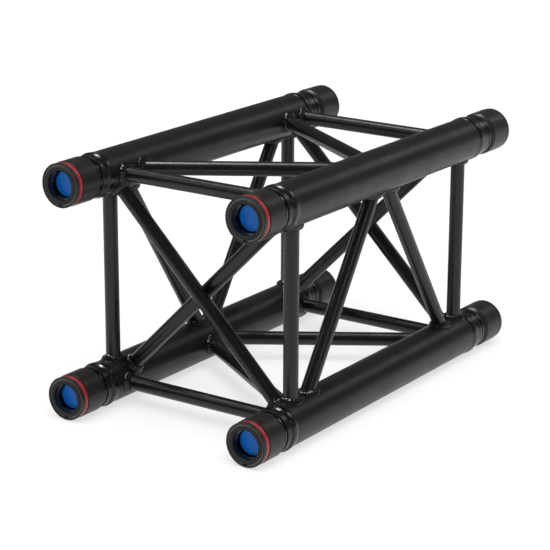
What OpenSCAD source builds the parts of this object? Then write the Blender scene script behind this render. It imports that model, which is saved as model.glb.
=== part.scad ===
// Square lighting truss section: four chord tubes, welded bracing, a receiver
// coupler on each near end and a spigot coupler on each far end.
// +X runs from the receivers to the spigots, +Z is up, and the origin lies at
// the middle of the underside.

/* [Section] */
// Length from mating face to mating face
section_len = 500; // [460:10:1000]
// Distance between chord centres, across and up
chord_pitch = 235; // [210:5:300]
// Outer diameter of a chord tube
chord_od = 48; // [48:0.1:48.4]
// Wall of a chord tube
chord_wall = 3; // [2.8:0.1:3]

/* [Bracing] */
// Outer diameter of a brace tube
brace_od = 16; // [12:1:18]
// Wall of a brace tube
brace_wall = 2; // [1.5:0.5:3]
// Near end frame, measured from the near mating face
near_frame = 82; // [76:1:90]
// Far end frame, measured back from the far mating face
far_frame = 78; // [76:1:90]

/* [Couplers] */
// Outer diameter of the turning sleeves
sleeve_od = 48.6; // [48.2:0.1:50]
// Bore of the receiver mouth
mouth_d = 32; // [31.6:0.1:32.4]
// Length of the spigot beyond the far mating face
spigot_len = 19; // [17:0.5:22]
// Diameter of the spigot at its root
spigot_d = 28.2; // [27:0.2:28.6]
// Rest depth of the plunger face behind the near mating face
plunger_depth = 11; // [10.5:0.5:12]
// Wire of the plunger springs
spring_wire = 2; // [1.6:0.1:2.2]
// Turns of the plunger springs
spring_turns = 5; // [4:1:6]

/* [Hidden] */
$fn = 96;
eps = 0.01;
cut = 1;

total_len = section_len + spigot_len;
near_x = -total_len / 2;
far_x = near_x + section_len;
chord_r = chord_od / 2;
brace_r = brace_od / 2;
sleeve_r = sleeve_od / 2;
collar_r = chord_r + 0.9;
rest_r = max(sleeve_r, collar_r);
mouth_r = mouth_d / 2;
half_pitch = chord_pitch / 2;
mid_z = half_pitch + rest_r;

// Chord positions as [y, z]
UL = [half_pitch, mid_z + half_pitch];
UR = [-half_pitch, mid_z + half_pitch];
LL = [half_pitch, mid_z - half_pitch];
LR = [-half_pitch, mid_z - half_pitch];
CHORDS = [UL, UR, LL, LR];

// Where the bracing meets the chords, along X
frame_near_x = near_x + near_frame;
frame_far_x = far_x - far_frame;
inner_near_x = frame_near_x + brace_od;
inner_far_x = frame_far_x - brace_od;
web_mid_x = (inner_near_x + inner_far_x) / 2;

// Tube ends, measured from the near and far mating faces
tube_near = 55;
tube_far = 66;
tail_r = chord_r - chord_wall;

// Shared coupler radii
journal_r = 20.5;
run_gap = 0.05;
sleeve_bore_r = journal_r + run_gap;
neck_r = 23.1;
ring_groove_r = 19.4;
snap_r = 22.1;
snap_w = 1.4;

// Receiver, depths from the near mating face
ring_face = 3;
ring_hub = 4.2;
lock_start = 4.5;
lock_end = 8.3;
throat_r = mouth_r + 0.6;
chamber_r = 18.4;
chamber_end = 13;
guide_end = 20;
body_end = 75;
sleeve_front = 0.3;
sleeve_shoulder = 2.3;
band_start = 4.2;
band_end = 10.6;
band_r = 22.6;
grip_end_near = 40;
hub_end_near = 41;
snap_near = 41.3;
neck_near = 44.5;

// Spigot coupler, depths back from the far mating face
grip_end_far = 38;
hub_end_far = 41.8;
snap_far = 42.1;
neck_far = 46.5;
tail_end_far = 86;
dog_start = 28;
dog_w = 3;

// Bayonet
lug_arc = 56;
lock_lug_r = 14.4;
spigot_lug_r = mouth_r - 0.3;
key_w = 8;
key_len = 3;
key_root_r = 17.2;
key_top_r = 22.1;
key_angle = 60;
turn = 60;
jam_turn = 90;

// Plunger
plunger_r = 14.3;
flange_r = chamber_r - 0.08;
flange_front = guide_end + 0.3;
flange_back = flange_front + 3;
seat_front = 47.2;
spring_gap = 0.1;
spring_r = 14.5;

// Places its children on a near coupler's axis, local +Z running into the chord
module at_near(c) {
    translate([near_x, c[0], c[1]])
    rotate([0, 90, 0])
    children();
}

// Places its children on a far coupler's axis, local +Z running back into the chord
module at_far(c) {
    translate([far_x, c[0], c[1]])
    rotate([0, -90, 0])
    children();
}

// Solid of revolution from a half outline of [radius, depth] points
module turned(outline) {
    rotate_extrude()
    polygon(outline);
}

// Plain disc or ring sector between two depths
module washer(r_out, r_in, from, to) {
    turned([[r_in, from], [r_out, from], [r_out, to], [r_in, to]]);
}

// Pie slice from angle a to angle b, wide enough for any coupler
module slice(a, b, from, to) {
    reach = 60;
    steps = 6;
    fan = [for (i = [0:steps]) let (t = a + (b - a) * i / steps) [reach * cos(t), reach * sin(t)]];
    translate([0, 0, from])
    linear_extrude(to - from)
    polygon(concat([[0, 0]], fan));
}

// ---------- frame ----------

module chord(c) {
    color("#2c2d2e")
    translate([near_x + tube_near, c[0], c[1]])
    rotate([0, 90, 0])
    difference() {
        cylinder(r = chord_r, h = section_len - tube_near - tube_far);
        translate([0, 0, -cut])
        cylinder(r = tail_r, h = section_len - tube_near - tube_far + 2 * cut);
    }
}

// Solid rod from point a to point b
module rod(a, b, r, extra) {
    d = b - a;
    len = norm(d);
    turn_z = atan2(d[1], d[0]);
    tilt = acos(d[2] / len);
    translate(a)
    rotate([0, tilt, turn_z])
    translate([0, 0, -extra])
    cylinder(r = r, h = len + 2 * extra);
}

// Solid bar where a chord runs, to cope a brace against
module chord_space(c) {
    translate([near_x, c[0], c[1]])
    rotate([0, 90, 0])
    cylinder(r = chord_r, h = section_len);
}

// Brace tube between two chords, coped to both
module brace(from, from_x, to, to_x) {
    a = [from_x, from[0], from[1]];
    b = [to_x, to[0], to[1]];
    color("#2f3031")
    difference() {
        rod(a, b, brace_r, 0);
        rod(a, b, brace_r - brace_wall, cut);
        chord_space(from);
        chord_space(to);
    }
}

// ---------- receiver couplers ----------

module receiver_body() {
    difference() {
        turned([
            [plunger_r, ring_face],
            [journal_r, ring_face],
            [journal_r, snap_near - eps],
            [ring_groove_r, snap_near - eps],
            [ring_groove_r, snap_near + snap_w + eps],
            [journal_r, snap_near + snap_w + eps],
            [journal_r, neck_near],
            [neck_r - 0.6, neck_near],
            [neck_r, neck_near + 0.6],
            [neck_r, tube_near - 3],
            [collar_r - 0.3, tube_near - 1.2],
            [collar_r, tube_near - 0.6],
            [collar_r, tube_near],
            [tail_r, tube_near],
            [tail_r, body_end],
            [plunger_r, body_end]
        ]);
        translate([0, 0, ring_face - cut])
        cylinder(r = chamber_r, h = lock_end + 0.2 - ring_face + cut);
        translate([0, 0, ring_face])
        cylinder(r = throat_r, h = chamber_end - ring_face);
        translate([0, 0, ring_face])
        cylinder(r = plunger_r + 0.07, h = body_end);
        translate([0, 0, guide_end])
        cylinder(r = chamber_r, h = body_end);
        for (k = [0:2])
            intersection() {
                slice(key_angle + 120 * k - 13.5, key_angle + 120 * k + turn + 13.5,
                    lock_start + 0.2, lock_end);
                washer(journal_r + cut, chamber_r - cut, lock_start, lock_end);
            }
    }
}

module receiver_bodies() {
    color("#252627")
    for (c = CHORDS)
        at_near(c)
        receiver_body();
}

module front_rings() {
    face_r = journal_r - 0.1;
    hub_r = chamber_r - 0.03;
    groove_r = 19.5;
    color("#3a3a40")
    for (c = CHORDS)
        at_near(c)
        turned([
            [mouth_r + 0.5, 0],
            [face_r - 0.4, 0],
            [face_r, 0.4],
            [face_r, 0.9],
            [groove_r, 0.9],
            [groove_r, 2.05],
            [face_r, 2.05],
            [face_r, ring_face],
            [hub_r, ring_face],
            [hub_r, ring_hub],
            [mouth_r, ring_hub],
            [mouth_r, 0.5]
        ]);
}

// Open spring-steel ring with a gap of the given angle
module open_ring(r_out, r_in, from, to, gap) {
    difference() {
        washer(r_out, r_in, from, to);
        slice(-gap / 2, gap / 2, from - cut, to + cut);
    }
}

module nose_circlips() {
    color("#c9ccd0")
    for (c = CHORDS)
        at_near(c)
        open_ring(21.7, 19.5, 0.95, 2.0, 14);
}

module snap_rings() {
    color("#c9ccd0")
    for (c = CHORDS) {
        at_near(c)
        open_ring(snap_r, ring_groove_r, snap_near, snap_near + snap_w, 12);
        at_far(c)
        open_ring(snap_r, ring_groove_r, snap_far, snap_far + snap_w, 12);
    }
}

module spring_seats() {
    color("#8d9094")
    for (c = CHORDS)
        at_near(c)
        turned([
            [4, seat_front],
            [chamber_r - 0.02, seat_front],
            [chamber_r - 0.02, seat_front + 4],
            [4, seat_front + 4]
        ]);
}

// Turning sleeve of the receiver, with the groove for the indicator ring
module locking_sleeve(c) {
    lip_r = sleeve_r - 0.3;
    color("#33312e")
    at_near(c)
    difference() {
        turned([
            [sleeve_bore_r, sleeve_shoulder],
            [21.9, sleeve_shoulder],
            [21.9, sleeve_front],
            [lip_r - 0.4, sleeve_front],
            [lip_r, sleeve_front + 0.4],
            [lip_r, band_start],
            [band_r, band_start],
            [band_r, band_end],
            [sleeve_r - 0.5, band_end],
            [sleeve_r, band_end + 0.5],
            [sleeve_r, grip_end_near - 3.6],
            [sleeve_r - 0.5, grip_end_near - 2.4],
            [22.4, grip_end_near],
            [21.6, grip_end_near],
            [21.6, hub_end_near],
            [sleeve_bore_r, hub_end_near]
        ]);
        for (k = [0:2])
            rotate([0, 0, key_angle + 120 * k])
            translate([sleeve_bore_r - cut, -key_w / 2 - eps, lock_start + 0.4])
            cube([band_r - sleeve_bore_r + 2 * cut, key_w + 2 * eps, key_len + 2 * eps]);
    }
}

// Soft crowned band that shows at the front of the sleeve
module indicator_ring(c) {
    crown_r = sleeve_r - 0.35;
    edge_r = crown_r - 1.1;
    mid = (band_start + band_end) / 2;
    half = (band_end - band_start) / 2 - 0.05;
    steps = 8;
    crown = [for (i = [0:steps])
        let (t = -1 + 2 * i / steps) [edge_r + (crown_r - edge_r) * sqrt(1 - t * t), mid + half * t]];
    color("#b3202f")
    at_near(c)
    turned(concat([[band_r, mid - half]], crown, [[band_r, mid + half]]));
}

// Bayonet ring that the sleeve turns through its three keys
module lock_ring(c) {
    color("#4a4b4d")
    at_near(c)
    difference() {
        washer(chamber_r - run_gap, throat_r, lock_start, lock_end);
        for (k = [0:2])
            rotate([0, 0, key_angle + 120 * k])
            translate([key_root_r, -key_w / 2 - eps, lock_start + 0.4])
            cube([10, key_w + 2 * eps, key_len + 2 * eps]);
    }
    color("#4a4b4d")
    at_near(c)
    for (k = [0:2])
        intersection() {
            washer(throat_r + eps, lock_lug_r, lock_start, lock_end);
            slice(120 * k - lug_arc / 2, 120 * k + lug_arc / 2, lock_start - cut, lock_end + cut);
        }
}

module lock_keys(c) {
    color("#9a9da1")
    at_near(c)
    for (k = [0:2])
        rotate([0, 0, key_angle + 120 * k])
        translate([key_root_r, -key_w / 2, lock_start + 0.4 + eps])
        cube([key_top_r - key_root_r, key_w, key_len]);
}

module plunger(c) {
    cup_r = 11.5;
    color("#1f6fc4")
    at_near(c)
    difference() {
        turned([
            [0, plunger_depth],
            [plunger_r - 0.8, plunger_depth],
            [plunger_r, plunger_depth + 0.8],
            [plunger_r, flange_front],
            [flange_r, flange_front],
            [flange_r, flange_back],
            [12.8, flange_back],
            [12.8, flange_back + 4],
            [0, flange_back + 4]
        ]);
        translate([0, 0, plunger_depth + 4])
        cylinder(r = cup_r, h = 30);
        translate([0, 0, plunger_depth - cut])
        cylinder(r = 9.5, h = 0.6 + cut);
    }
}

// One point of the spring's centre line at turn t
function coil_point(t, rise) = [spring_r * cos(360 * t), spring_r * sin(360 * t), rise * t];

module plunger_spring(c) {
    steps = 20;
    sides = 8;
    wire_r = spring_wire / 2;
    start = flange_back + spring_gap + wire_r;
    rise = (seat_front - spring_gap - wire_r - start) / spring_turns;
    rings = steps * spring_turns;
    slope = atan(rise / (2 * PI * spring_r));
    points = [for (i = [0:rings]) let (a = 360 * i / steps, p = coil_point(i / steps, rise))
        for (j = [0:sides - 1]) let (b = 360 * j / sides, u = wire_r * cos(b), v = wire_r * sin(b))
            p + u * [cos(a), sin(a), 0]
              + v * [sin(a) * sin(slope), -cos(a) * sin(slope), cos(slope)]];
    walls = [for (i = [0:rings - 1]) for (j = [0:sides - 1])
        let (k = (j + 1) % sides)
        [i * sides + j, (i + 1) * sides + j, (i + 1) * sides + k, i * sides + k]];
    first = [for (j = [0:sides - 1]) j];
    last = [for (j = [sides - 1:-1:0]) rings * sides + j];
    color("#b9bcc0")
    at_near(c)
    translate([0, 0, start])
    polyhedron(points, concat(walls, [first], [last]), convexity = 10);
}

// ---------- spigot couplers ----------

module spigot_body() {
    root_r = spigot_d / 2;
    lug_back = lock_end + 0.3;
    lug_front = lug_back + 2.8;
    difference() {
        turned([
            [0, -spigot_len],
            [root_r * 0.55, -spigot_len],
            [root_r * 0.62, -spigot_len + 0.6],
            [root_r, -lug_front - 0.4],
            [root_r, 0],
            [journal_r - 0.4, 0],
            [journal_r, 0.4],
            [journal_r, snap_far - eps],
            [ring_groove_r, snap_far - eps],
            [ring_groove_r, snap_far + snap_w + eps],
            [journal_r, snap_far + snap_w + eps],
            [journal_r, neck_far],
            [neck_r - 0.8, neck_far],
            [neck_r, neck_far + 0.8],
            [neck_r, tube_far - 8],
            [collar_r - 0.4, tube_far - 5.5],
            [collar_r, tube_far - 4],
            [collar_r, tube_far],
            [tail_r, tube_far],
            [tail_r, tail_end_far],
            [0, tail_end_far]
        ]);
        translate([0, 0, 12])
        cylinder(r = 15, h = tail_end_far);
        translate([0, 0, -spigot_len - cut])
        cylinder(r = 4, h = 12 + cut);
        intersection() {
            washer(journal_r + cut, journal_r - 1.2, dog_start, dog_start + dog_w + 0.6);
            slice(-7, jam_turn + 7, dog_start, dog_start + dog_w + 0.6);
        }
    }
    for (k = [0:2])
        intersection() {
            turned([
                [root_r - eps, -lug_front],
                [spigot_lug_r - 0.5, -lug_front],
                [spigot_lug_r, -lug_front + 0.5],
                [spigot_lug_r, -lug_back],
                [root_r - eps, -lug_back]
            ]);
            slice(120 * k - lug_arc / 2, 120 * k + lug_arc / 2, -lug_front - cut, 0);
        }
}

module spigot_bodies() {
    color("#2a2b2c")
    for (c = CHORDS)
        at_far(c)
        spigot_body();
}

// Turning sleeve behind the spigot, with the dog that limits its turn
module jam_sleeve(c) {
    rim_r = sleeve_r - 0.3;
    rim_end = 4.4;
    color("#33312e")
    at_far(c) {
        turned([
            [sleeve_bore_r, 0.3],
            [rim_r - 0.6, 0.3],
            [rim_r, 0.9],
            [rim_r, rim_end],
            [rim_r - 0.4, rim_end + 0.3],
            [rim_r - 0.4, rim_end + 0.9],
            [sleeve_r, rim_end + 1.4],
            [sleeve_r, grip_end_far - 3.6],
            [sleeve_r - 0.5, grip_end_far - 2.4],
            [22.4, grip_end_far],
            [21.9, grip_end_far],
            [21.9, hub_end_far],
            [sleeve_bore_r, hub_end_far]
        ]);
        intersection() {
            washer(sleeve_bore_r + eps, journal_r - 0.9, dog_start + 0.3, dog_start + 0.3 + dog_w);
            slice(-5, 5, dog_start, dog_start + dog_w + 1);
        }
    }
}

chord(UL);  // chord_upper_left
chord(UR);  // chord_upper_right
chord(LL);  // chord_lower_left
chord(LR);  // chord_lower_right
brace(LL, frame_near_x, UL, frame_near_x);  // near_upright_left
brace(LR, frame_near_x, UR, frame_near_x);  // near_upright_right
brace(UL, frame_near_x, UR, frame_near_x);  // near_crossbar_upper
brace(LL, frame_near_x, LR, frame_near_x);  // near_crossbar_lower
brace(UL, frame_near_x, LR, frame_near_x);  // near_diagonal_outer
brace(LL, inner_near_x, UR, inner_near_x);  // near_diagonal_inner
brace(LL, frame_far_x, UL, frame_far_x);  // far_upright_left
brace(LR, frame_far_x, UR, frame_far_x);  // far_upright_right
brace(UL, frame_far_x, UR, frame_far_x);  // far_crossbar_upper
brace(LL, frame_far_x, LR, frame_far_x);  // far_crossbar_lower
brace(UL, frame_far_x, LR, frame_far_x);  // far_diagonal_outer
brace(LL, inner_far_x, UR, inner_far_x);  // far_diagonal_inner
brace(UL, inner_near_x, LL, web_mid_x);  // left_web_near
brace(LL, web_mid_x, UL, inner_far_x);  // left_web_far
brace(LR, inner_near_x, UR, web_mid_x);  // right_web_near
brace(UR, web_mid_x, LR, inner_far_x);  // right_web_far
brace(UL, inner_near_x, UR, web_mid_x);  // top_web_near
brace(UR, web_mid_x, UL, inner_far_x);  // top_web_far
brace(LR, inner_near_x, LL, web_mid_x);  // bottom_web_near
brace(LL, web_mid_x, LR, inner_far_x);  // bottom_web_far
receiver_bodies();
front_rings();
nose_circlips();
spring_seats();
spigot_bodies();
snap_rings();
locking_sleeve(UL);  // locking_sleeve_ul
locking_sleeve(UR);  // locking_sleeve_ur
locking_sleeve(LL);  // locking_sleeve_ll
locking_sleeve(LR);  // locking_sleeve_lr
indicator_ring(UL);  // indicator_ring_ul
indicator_ring(UR);  // indicator_ring_ur
indicator_ring(LL);  // indicator_ring_ll
indicator_ring(LR);  // indicator_ring_lr
lock_ring(UL);  // lock_ring_ul
lock_ring(UR);  // lock_ring_ur
lock_ring(LL);  // lock_ring_ll
lock_ring(LR);  // lock_ring_lr
lock_keys(UL);  // lock_keys_ul
lock_keys(UR);  // lock_keys_ur
lock_keys(LL);  // lock_keys_ll
lock_keys(LR);  // lock_keys_lr
plunger(UL);  // plunger_ul
plunger(UR);  // plunger_ur
plunger(LL);  // plunger_ll
plunger(LR);  // plunger_lr
plunger_spring(UL);  // plunger_spring_ul
plunger_spring(UR);  // plunger_spring_ur
plunger_spring(LL);  // plunger_spring_ll
plunger_spring(LR);  // plunger_spring_lr
jam_sleeve(UL);  // jam_sleeve_ul
jam_sleeve(UR);  // jam_sleeve_ur
jam_sleeve(LL);  // jam_sleeve_ll
jam_sleeve(LR);  // jam_sleeve_lr
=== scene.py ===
"""Looks of the lighting truss section: finishes, weld beads, coil springs, light and camera.

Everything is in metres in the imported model's own frame: +X runs from the
receivers (near end) to the spigots (far end) and +Z is up.
"""

import math

import bpy
from mathutils import Matrix, Vector, noise


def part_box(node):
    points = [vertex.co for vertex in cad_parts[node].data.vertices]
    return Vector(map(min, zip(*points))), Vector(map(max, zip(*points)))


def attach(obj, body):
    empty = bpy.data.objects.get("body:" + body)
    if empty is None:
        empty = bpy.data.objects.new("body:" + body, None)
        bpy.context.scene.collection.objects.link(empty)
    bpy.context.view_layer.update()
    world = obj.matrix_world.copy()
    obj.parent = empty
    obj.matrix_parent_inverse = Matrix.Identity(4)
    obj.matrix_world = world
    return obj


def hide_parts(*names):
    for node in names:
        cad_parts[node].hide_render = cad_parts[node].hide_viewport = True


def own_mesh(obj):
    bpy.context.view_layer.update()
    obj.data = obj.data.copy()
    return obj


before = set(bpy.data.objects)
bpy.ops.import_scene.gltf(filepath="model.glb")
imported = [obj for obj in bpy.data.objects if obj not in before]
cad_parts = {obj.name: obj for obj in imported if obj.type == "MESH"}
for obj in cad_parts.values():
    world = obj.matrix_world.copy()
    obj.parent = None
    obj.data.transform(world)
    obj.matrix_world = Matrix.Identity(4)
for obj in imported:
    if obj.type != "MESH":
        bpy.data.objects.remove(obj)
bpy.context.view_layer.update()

MM = 0.001
TAU = 2 * math.pi

# ---------- places, all worked out from the frame ----------


def middle(node):
    """Centre of a CAD node's box."""
    lo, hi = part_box(node)
    return (lo + hi) / 2


def span(node):
    """Size of a CAD node's box along X, Y and Z."""
    lo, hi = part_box(node)
    return hi - lo


CORNERS = {
    "ul": "chord_upper_left",
    "ur": "chord_upper_right",
    "ll": "chord_lower_left",
    "lr": "chord_lower_right",
}
CHORD = {k: Vector((0, middle(n).y, middle(n).z)) for k, n in CORNERS.items()}
CHORD_R = span("chord_upper_left").z / 2
BRACE_R = span("near_upright_left").x / 2
NEAR_TUBE_END, FAR_TUBE_END = (corner.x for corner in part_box("chord_upper_left"))
COLLAR_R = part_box("receiver_bodies")[1].z - CHORD["ul"].z
NEAR_PLANE = middle("near_upright_left").x
FAR_PLANE = middle("far_upright_left").x
NEAR_INNER = middle("near_diagonal_inner").x
FAR_INNER = middle("far_diagonal_inner").x
WEB_MID = (NEAR_INNER + FAR_INNER) / 2

# Each brace runs from one chord axis to another: (corner, x, corner, x)
BRACES = {
    "near_upright_left": ("ll", NEAR_PLANE, "ul", NEAR_PLANE),
    "near_upright_right": ("lr", NEAR_PLANE, "ur", NEAR_PLANE),
    "near_crossbar_upper": ("ul", NEAR_PLANE, "ur", NEAR_PLANE),
    "near_crossbar_lower": ("ll", NEAR_PLANE, "lr", NEAR_PLANE),
    "near_diagonal_outer": ("ul", NEAR_PLANE, "lr", NEAR_PLANE),
    "near_diagonal_inner": ("ll", NEAR_INNER, "ur", NEAR_INNER),
    "far_upright_left": ("ll", FAR_PLANE, "ul", FAR_PLANE),
    "far_upright_right": ("lr", FAR_PLANE, "ur", FAR_PLANE),
    "far_crossbar_upper": ("ul", FAR_PLANE, "ur", FAR_PLANE),
    "far_crossbar_lower": ("ll", FAR_PLANE, "lr", FAR_PLANE),
    "far_diagonal_outer": ("ul", FAR_PLANE, "lr", FAR_PLANE),
    "far_diagonal_inner": ("ll", FAR_INNER, "ur", FAR_INNER),
    "left_web_near": ("ul", NEAR_INNER, "ll", WEB_MID),
    "left_web_far": ("ll", WEB_MID, "ul", FAR_INNER),
    "right_web_near": ("lr", NEAR_INNER, "ur", WEB_MID),
    "right_web_far": ("ur", WEB_MID, "lr", FAR_INNER),
    "top_web_near": ("ul", NEAR_INNER, "ur", WEB_MID),
    "top_web_far": ("ur", WEB_MID, "ul", FAR_INNER),
    "bottom_web_near": ("lr", NEAR_INNER, "ll", WEB_MID),
    "bottom_web_far": ("ll", WEB_MID, "lr", FAR_INNER),
}

# ---------- camera ----------


def add_camera():
    """Camera at the photograph's viewing angle: left of the near end and above it."""
    place = (-1.7948, -1.2051, 0.7750)
    yaw, pitch, roll = 0.5875, 0.2943, 0.0074
    focal_px, frame_px, sensor = 2002.8, 550, 36.0
    forward = Vector(
        (math.cos(pitch) * math.cos(yaw), math.cos(pitch) * math.sin(yaw), -math.sin(pitch))
    )
    right = forward.cross(Vector((0, 0, 1))).normalized()
    up = right.cross(forward)
    rolled_right = math.cos(roll) * right + math.sin(roll) * up
    rolled_up = math.cos(roll) * up - math.sin(roll) * right
    turn = Matrix((rolled_right, rolled_up, -forward)).transposed().to_4x4()
    data = bpy.data.cameras.new("photo_camera")
    data.sensor_width = sensor
    data.lens = focal_px / frame_px * sensor
    data.shift_x = -0.0455
    data.clip_end = 60
    camera = bpy.data.objects.new("photo_camera", data)
    camera.matrix_world = Matrix.Translation(place) @ turn
    bpy.context.scene.collection.objects.link(camera)
    bpy.context.scene.camera = camera


# ---------- materials ----------


class Finish:
    """A node material under construction, with short calls for the nodes it uses."""

    def __init__(self, name):
        self.material = bpy.data.materials.new(name)
        self.material.use_nodes = True
        self.nodes = self.material.node_tree.nodes
        self.links = self.material.node_tree.links
        self.shader = self.nodes["Principled BSDF"]
        self.place = self.nodes.new("ShaderNodeTexCoord").outputs["Object"]

    def set(self, **values):
        for name, value in values.items():
            self.shader.inputs[name.replace("_", " ")].default_value = value

    def stretched(self, scale):
        mapping = self.nodes.new("ShaderNodeMapping")
        mapping.inputs["Scale"].default_value = scale
        self.links.new(self.place, mapping.inputs["Vector"])
        return mapping.outputs["Vector"]

    def noise(self, scale, detail=2.0, rough=0.5, stretch=None):
        node = self.nodes.new("ShaderNodeTexNoise")
        node.inputs["Scale"].default_value = scale
        node.inputs["Detail"].default_value = detail
        node.inputs["Roughness"].default_value = rough
        source = self.stretched(stretch) if stretch else self.place
        self.links.new(source, node.inputs["Vector"])
        return node.outputs["Fac"]

    def ramp(self, source, low, high):
        """Maps a 0 to 1 value onto a number between low and high, or between two colours."""
        if isinstance(low, tuple):
            node = self.nodes.new("ShaderNodeValToRGB")
            node.color_ramp.elements[0].position = 0.3
            node.color_ramp.elements[1].position = 0.7
            node.color_ramp.elements[0].color = (*low, 1)
            node.color_ramp.elements[1].color = (*high, 1)
            self.links.new(source, node.inputs["Fac"])
            return node.outputs["Color"]
        node = self.nodes.new("ShaderNodeMapRange")
        node.inputs["From Min"].default_value = 0.3
        node.inputs["From Max"].default_value = 0.7
        node.inputs["To Min"].default_value = low
        node.inputs["To Max"].default_value = high
        self.links.new(source, node.inputs["Value"])
        return node.outputs["Result"]

    def edge(self, radius):
        """1 along sharp edges and 0 on open faces, from the difference a bevel would make."""
        bevel = self.nodes.new("ShaderNodeBevel")
        bevel.samples = 4
        bevel.inputs["Radius"].default_value = radius
        plain = self.nodes.new("ShaderNodeNewGeometry").outputs["Normal"]
        dot = self.nodes.new("ShaderNodeVectorMath")
        dot.operation = "DOT_PRODUCT"
        self.links.new(bevel.outputs["Normal"], dot.inputs[0])
        self.links.new(plain, dot.inputs[1])
        spread = self.nodes.new("ShaderNodeMapRange")
        spread.inputs["From Min"].default_value = 0.99
        spread.inputs["From Max"].default_value = 0.86
        self.links.new(dot.outputs["Value"], spread.inputs["Value"])
        return spread.outputs["Result"]

    def times(self, a, b):
        node = self.nodes.new("ShaderNodeMath")
        node.operation = "MULTIPLY"
        self.links.new(a, node.inputs[0])
        self.links.new(b, node.inputs[1])
        return node.outputs["Value"]

    def mix(self, factor, a, b):
        """Mixes colour output a with the fixed colour b."""
        node = self.nodes.new("ShaderNodeMix")
        node.data_type = "RGBA"
        self.links.new(factor, node.inputs["Factor"])
        self.links.new(a, node.inputs[6])
        node.inputs[7].default_value = (*b, 1)
        return node.outputs[2]

    def wire(self, name, source):
        self.links.new(source, self.shader.inputs[name])

    def bump(self, source, depth, strength=1.0):
        node = self.nodes.new("ShaderNodeBump")
        node.inputs["Strength"].default_value = strength
        node.inputs["Distance"].default_value = depth
        self.links.new(source, node.inputs["Height"])
        before = self.shader.inputs["Normal"].links
        if before:
            self.links.new(before[0].from_socket, node.inputs["Normal"])
        self.links.new(node.outputs["Normal"], self.shader.inputs["Normal"])


def powder_coat(name, low, high, gloss, peel):
    """Satin black powder coat: orange peel, cloudy gloss and a slight mottle."""
    finish = Finish(name)
    finish.set(Specular_IOR_Level=0.38)
    finish.wire("Base Color", finish.ramp(finish.noise(38, 3), low, high))
    finish.wire("Roughness", finish.ramp(finish.noise(60, 4, 0.6), *gloss))
    finish.bump(finish.noise(620, 2, 0.45), peel)
    finish.bump(finish.noise(95, 1), peel * 0.8)
    return finish.material


def anodised(name, low, high, gloss, shine, wear):
    """Hard-coated turned aluminium: fine turning marks round X, worn lightly along its edges."""
    bare_metal = (0.3, 0.29, 0.28)
    finish = Finish(name)
    finish.set(Specular_IOR_Level=shine)
    marks = finish.noise(900, 3, 0.6, stretch=(2.4, 0.012, 0.012))
    colour = finish.ramp(finish.noise(120, 4, 0.6), low, high)
    worn = finish.times(finish.edge(0.35 * MM), finish.ramp(finish.noise(240, 3), 0.0, wear))
    finish.wire("Base Color", finish.mix(worn, colour, bare_metal))
    finish.wire("Roughness", finish.ramp(marks, *gloss))
    finish.bump(marks, 0.012 * MM)
    finish.bump(finish.noise(1400, 2), 0.01 * MM)
    return finish.material


def steel(name, low, high, gloss):
    """Bare or phosphated steel with drawn marks and a cloudy tint."""
    finish = Finish(name)
    finish.set(Metallic=1.0)
    marks = finish.noise(700, 3, 0.6, stretch=(2.0, 0.05, 0.05))
    finish.wire("Base Color", finish.ramp(finish.noise(160, 3), low, high))
    finish.wire("Roughness", finish.ramp(marks, *gloss))
    finish.bump(marks, 0.008 * MM)
    return finish.material


def moulded(name, low, high, painted_edge_highlight_shade, gloss, shine):
    """Moulded plastic or elastomer with a fine surface grain, small scuffs, and its sharp edges
    painted in a set colour as painted highlight and painted shade.
    """
    finish = Finish(name)
    finish.set(Specular_IOR_Level=shine)
    colour = finish.ramp(finish.noise(140, 3), low, high)
    # Painted highlight and painted shade: the sharp edges take a set colour, lighter for a painted
    # highlight line and darker for painted shade.
    finish.wire("Base Color", finish.mix(finish.edge(0.6 * MM), colour, painted_edge_highlight_shade))
    finish.wire("Roughness", finish.ramp(finish.noise(420, 5, 0.7), *gloss))
    finish.bump(finish.noise(1100, 2), 0.01 * MM)
    return finish.material


def slot_name(material):
    """Slot a material is for: its name without the number that Blender adds to a repeat."""
    return material.name.split(".")[0]


BLACK_COAT = {"low": (0.0040, 0.0044, 0.0043), "high": (0.0064, 0.0070, 0.0068)}


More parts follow.
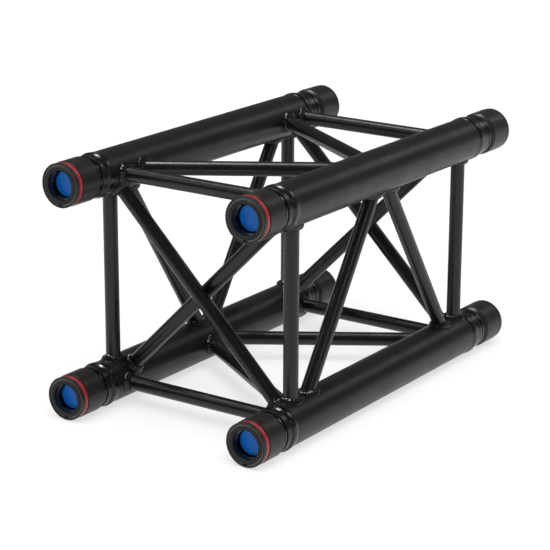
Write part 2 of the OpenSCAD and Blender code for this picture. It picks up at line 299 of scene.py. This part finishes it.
def make_materials():
    """One finish for each material slot of the record, and one for the weld beads."""
    made = [
        powder_coat(
            "chord_coat",
            low=(0.0042, 0.0048, 0.0046),
            high=(0.0068, 0.0075, 0.0072),
            gloss=(0.36, 0.45),
            peel=0.014 * MM,
        ),
        powder_coat("brace_coat", **BLACK_COAT, gloss=(0.25, 0.34), peel=0.009 * MM),
        powder_coat("weld_coat", **BLACK_COAT, gloss=(0.12, 0.22), peel=0.02 * MM),
        powder_coat("coupler_body", **BLACK_COAT, gloss=(0.24, 0.34), peel=0.01 * MM),
        anodised(
            "front_ring",
            low=(0.0072, 0.0078, 0.0088),
            high=(0.0102, 0.0110, 0.0125),
            gloss=(0.46, 0.58),
            shine=0.25,
            wear=0.12,
        ),
        steel("ring_steel", (0.08, 0.077, 0.07), (0.12, 0.115, 0.105), gloss=(0.16, 0.26)),
        steel("seat_metal", (0.48, 0.49, 0.5), (0.6, 0.61, 0.62), gloss=(0.25, 0.4)),
        anodised(
            "sleeve_finish",
            low=(0.0115, 0.0105, 0.0092),
            high=(0.0170, 0.0156, 0.0136),
            gloss=(0.34, 0.44),
            shine=0.28,
            wear=0.2,
        ),
        moulded(
            "red_band",
            low=(0.24, 0.014, 0.024),
            high=(0.34, 0.024, 0.036),
            # Darker edges: painted shade where the crowned band turns away from the light.
            painted_edge_highlight_shade=(0.2, 0.012, 0.02),
            gloss=(0.28, 0.4),
            shine=0.5,
        ),
        steel("lock_metal", (0.1, 0.1, 0.105), (0.16, 0.16, 0.17), gloss=(0.32, 0.45)),
        steel("spring_steel", (0.42, 0.43, 0.45), (0.58, 0.59, 0.6), gloss=(0.2, 0.32)),
        moulded(
            "blue_plastic",
            low=(0.001, 0.145, 0.60),
            high=(0.002, 0.18, 0.72),
            # Lighter edges: painted highlight line round the plunger's face.
            painted_edge_highlight_shade=(0.03, 0.36, 1.0),
            gloss=(0.3, 0.42),
            shine=0.26,
        ),
    ]
    return {slot_name(material): material for material in made}


def paint_frame(materials):
    """Every CAD node takes the detailed material of its own slot."""
    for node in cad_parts.values():
        for place in node.material_slots:
            place.material = materials[slot_name(place.material)]


# ---------- mesh helpers ----------


def add_mesh(name, points, faces, material):
    data = bpy.data.meshes.new(name)
    data.from_pydata(points, [], faces)
    data.shade_smooth()
    data.update()
    data.materials.append(material)
    piece = bpy.data.objects.new(name, data)
    bpy.context.scene.collection.objects.link(piece)
    return piece


def ring_faces(rings, sides, closed):
    """Quads that join rings of points, each ring a closed loop, into a tube or a torus."""
    faces = []
    for i in range(rings if closed else rings - 1):
        nxt = (i + 1) % rings
        for j in range(sides):
            k = (j + 1) % sides
            faces.append((i * sides + j, nxt * sides + j, nxt * sides + k, i * sides + k))
    return faces


# ---------- weld beads ----------

RIPPLE = 2.3 * MM


def bead_size(where, ripple_at):
    """Size factor of a bead: stacked ripples on slow lumps."""
    lump = noise.noise(where * 150) * 0.24 + noise.noise(where * 420) * 0.12
    crest = 1 - abs((ripple_at % 1.0) * 2 - 1) ** 1.7
    return 0.9 + lump + 0.11 * crest


def brace_bead(name, chord, start, along, leg, material):
    """Lumpy fillet bead where a brace, starting on a chord's axis, leaves that chord's skin."""
    steps, arc = 192, 9
    side = along.cross(Vector((1, 0, 0)))
    if side.length < 0.1:
        side = along.cross(Vector((0, 0, 1)))
    side.normalize()
    other = along.cross(side)
    path = []
    for i in range(steps):
        turn = TAU * i / steps
        outward = side * math.cos(turn) + other * math.sin(turn)
        base = start + outward * BRACE_R - chord
        flat, run = Vector((0, base.y, base.z)), Vector((0, along.y, along.z))
        a, b, c = run.dot(run), flat.dot(run), flat.dot(flat) - CHORD_R**2
        t = (-b + math.sqrt(b * b - a * c)) / a
        point = start + outward * BRACE_R + along * t
        up = Vector((0, point.y - chord.y, point.z - chord.z)).normalized()
        path.append((point, outward, up))
    lengths = [0.0]
    for i in range(steps):
        lengths.append(lengths[-1] + (path[(i + 1) % steps][0] - path[i][0]).length)
    ripples = round(lengths[-1] / RIPPLE)
    points = []
    for i, (point, outward, up) in enumerate(path):
        tangent = (path[(i + 1) % steps][0] - path[i - 1][0]).normalized()
        on_chord = up.cross(tangent).normalized()
        if on_chord.dot(outward) < 0:
            on_chord.negate()
        on_brace = outward.cross(tangent).normalized()
        if on_brace.dot(along) < 0:
            on_brace.negate()
        crown = (up + outward).normalized()
        spread = max(0.25, 1 - on_chord.dot(on_brace))
        points.append(point - (up + outward) * 0.35 * leg)
        for j in range(arc):
            s = j / (arc - 1)
            phase = ripples * lengths[i] / lengths[-1] + 0.3 * math.sin(math.pi * s)
            size = leg * bead_size(point + on_brace * s * leg, phase)
            flat = on_chord * (1 - s) + on_brace * s
            swell = 0.22 * math.sin(math.pi * s) * math.sqrt(spread)
            sink = 0.06 * leg * (up * (1 - s) + outward * s)
            points.append(point + flat * size + crown * swell * size - sink)
    faces = ring_faces(steps, arc + 1, True)
    return add_mesh(name, points, faces, material)


def collar_bead(name, centre, profile, material, ripple_depth):
    """Round bead about a chord axis from (x offset, radius) points, rippled round the chord."""
    steps = 224
    ripples = round(TAU * CHORD_R / RIPPLE)
    points = []
    for i in range(steps):
        turn = TAU * i / steps
        spoke = Vector((0, math.cos(turn), math.sin(turn)))
        for j, (x, radius) in enumerate(profile):
            s = j / (len(profile) - 1)
            phase = ripples * i / steps + 0.35 * math.sin(math.pi * s)
            crest = 1 - abs((phase % 1.0) * 2 - 1) ** 1.7
            low = noise.noise((centre + spoke * radius) * 190)
            dip = ripple_depth * (1 - crest + 0.6 * abs(low)) * math.sin(math.pi * s)
            points.append(centre + Vector((x, 0, 0)) + spoke * (radius - dip))
    return add_mesh(name, points, ring_faces(steps, len(profile), True), material)


def crowned(start, end, radius_start, radius_end, crown, buried):
    """Closed outline of a crowned bead: buried at both toes and flat-topped in the middle."""
    steps = 12
    outline = [(start, radius_start - buried)]
    for i in range(steps + 1):
        s = i / steps
        base = radius_start * (1 - s) + radius_end * s
        swell = min(1, 1.12 * math.sin(math.pi * s) ** 0.7)
        outline.append((start + (end - start) * s, base + (crown - base) * swell))
    outline.append((end, radius_end - buried))
    return outline


def add_welds(material):
    """A bead at both ends of every brace, and a collar wherever a coupler meets its tube."""
    leg = 5.0 * MM
    for name, (corner_a, xa, corner_b, xb) in BRACES.items():
        a = CHORD[corner_a] + Vector((xa, 0, 0))
        b = CHORD[corner_b] + Vector((xb, 0, 0))
        along = (b - a).normalized()
        for tag, chord, start, way in (
            ("a", CHORD[corner_a], a, along),
            ("b", CHORD[corner_b], b, -along),
        ):
            bead = brace_bead(f"weld_{name}_{tag}", chord, start, way, leg, material)
            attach(bead, "frame")
    crown = COLLAR_R - 0.03 * MM
    under = 0.9 * MM
    ripple_depth = 0.1 * MM
    ends = (
        ("near", NEAR_TUBE_END, -3.4 * MM, 6.5 * MM),
        ("far", FAR_TUBE_END, 8.2 * MM, -4.0 * MM),
    )
    for corner, chord in CHORD.items():
        for end, edge, toe_body, toe_tube in ends:
            outline = crowned(toe_body, toe_tube, CHORD_R - under, CHORD_R, crown, under)
            centre = chord + Vector((edge, 0, 0))
            name = f"collar_weld_{end}_{corner}"
            collar = collar_bead(name, centre, outline, material, ripple_depth)
            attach(collar, "frame")


# ---------- plunger springs ----------


def add_springs(material):
    """Smooth coil springs, built in place of the CAD springs and fixed to the frame."""
    turns, wire_sides, coil_steps = 5, 14, 40
    wire = 1.0 * MM
    for corner, chord in CHORD.items():
        lo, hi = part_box(f"plunger_spring_{corner}")
        coil = (hi.z - lo.z) / 2 - wire
        front, back = lo.x + wire, hi.x - wire
        rings = turns * coil_steps + 1
        points = []
        for i in range(rings):
            turn = TAU * i / coil_steps
            spoke = Vector((0, math.sin(turn), math.cos(turn)))
            x = front + (back - front) * i / (rings - 1)
            centre = Vector((x, chord.y, chord.z)) + spoke * coil
            for j in range(wire_sides):
                around = TAU * j / wire_sides
                offset = spoke * math.cos(around) + Vector((math.sin(around), 0, 0))
                points.append(centre + offset * wire)
        faces = ring_faces(rings, wire_sides, False)
        faces.append(tuple(reversed(range(wire_sides))))
        faces.append(tuple(range((rings - 1) * wire_sides, rings * wire_sides)))
        spring = add_mesh(f"coil_spring_{corner}", points, faces, material)
        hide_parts(f"plunger_spring_{corner}")
        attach(spring, "frame")
        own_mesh(spring)


# ---------- floor and light ----------


def add_floor():
    """White light table: bright of itself, so the part leaves only faint shadows on it."""
    half = 14
    corners = [(-half, -half, 0), (half, -half, 0), (half, half, 0), (-half, half, 0)]
    finish = Finish("floor_white")
    mottle = finish.ramp(finish.noise(0.6, 2), (0.36, 0.36, 0.36), (0.4, 0.4, 0.4))
    finish.wire("Base Color", mottle)
    finish.set(Roughness=0.9, Specular_IOR_Level=0.1)
    finish.set(Emission_Color=(1, 1, 1, 1), Emission_Strength=0.66)
    floor = add_mesh("floor", corners, [(0, 1, 2, 3)], finish.material)


def add_backdrop():
    """Pale wall all round, far off, which lights nothing and doesn't show in the gloss."""
    steps, radius, height = 96, 13.5, 7.0
    points = []
    for i in range(steps):
        turn = TAU * i / steps
        foot = Vector((math.cos(turn), math.sin(turn), 0)) * radius
        points += [foot, foot + Vector((0, 0, height))]
    faces = [
        (2 * i, 2 * i + 1, (2 * i + 3) % (2 * steps), (2 * i + 2) % (2 * steps))
        for i in range(steps)
    ]
    finish = Finish("backdrop_white")
    mottle = finish.ramp(finish.noise(0.3, 1), (0.99, 0.99, 0.99), (1, 1, 1))
    finish.wire("Emission Color", mottle)
    finish.set(Base_Color=(0, 0, 0, 1), Emission_Strength=1.02, Specular_IOR_Level=0.0)
    backdrop = add_mesh("backdrop", points, faces, finish.material)
    backdrop.visible_glossy = False
    backdrop.visible_diffuse = False
    backdrop.visible_shadow = False


def add_softbox(name, place, aim, size, power):
    data = bpy.data.lights.new(name, "AREA")
    data.shape = "RECTANGLE"
    data.size, data.size_y = size
    data.energy = power
    light = bpy.data.objects.new(name, data)
    light.location = place
    light.rotation_euler = (Vector(aim) - Vector(place)).to_track_quat("-Z", "Y").to_euler()
    bpy.context.scene.collection.objects.link(light)


def add_world():
    """Pale horizon under a dim dome, so that dark gloss shows the floor below and little above."""
    world = bpy.data.worlds.new("studio")
    bpy.context.scene.world = world
    world.use_nodes = True
    nodes, links = world.node_tree.nodes, world.node_tree.links
    split = nodes.new("ShaderNodeSeparateXYZ")
    links.new(nodes.new("ShaderNodeTexCoord").outputs["Generated"], split.inputs["Vector"])
    ramp = nodes.new("ShaderNodeValToRGB")
    links.new(split.outputs["Z"], ramp.inputs["Fac"])
    horizon, dome = ramp.color_ramp.elements
    horizon.position, horizon.color = 0.0, (0.3, 0.3, 0.305, 1)
    dome.position, dome.color = 0.25, (0.09, 0.09, 0.094, 1)
    background = nodes["Background"]
    links.new(ramp.outputs["Color"], background.inputs["Color"])
    background.inputs["Strength"].default_value = 1.0


def add_overhead():
    """Broad overhead light that brightens the floor but doesn't show in the gloss."""
    data = bpy.data.lights.new("overhead", "SUN")
    data.energy = 3.1
    data.angle = math.radians(70)
    light = bpy.data.objects.new("overhead", data)
    light.rotation_euler = (math.radians(12), math.radians(-8), 0)
    light.visible_glossy = False
    bpy.context.scene.collection.objects.link(light)


def add_sparkle():
    """Overhead glint that shows only in gloss: on weld beads, chamfers and ring edges."""
    data = bpy.data.lights.new("sparkle", "SUN")
    data.energy = 4.5
    data.angle = math.radians(20)
    light = bpy.data.objects.new("sparkle", data)
    light.rotation_euler = Vector((-0.05, 0.27, 0.96)).to_track_quat("Z", "Y").to_euler()
    light.visible_diffuse = False
    bpy.context.scene.collection.objects.link(light)


def add_lights():
    middle_of_part = (0, 0, 0.14)
    add_overhead()
    add_sparkle()
    add_softbox("back_right", (2.5, -0.85, 1.85), middle_of_part, (0.8, 0.8), 4.6)
    add_softbox("left_key", (-1.6, 1.9, 2.0), middle_of_part, (0.25, 0.25), 4)
    add_softbox("front_right", (-1.2, -2.6, 1.7), middle_of_part, (0.25, 0.25), 4)


add_camera()
finishes = make_materials()
paint_frame(finishes)
add_welds(finishes["weld_coat"])
add_springs(finishes["spring_steel"])
add_floor()
add_backdrop()
add_world()
add_lights()
bpy.context.scene.view_settings.view_transform = "Standard"
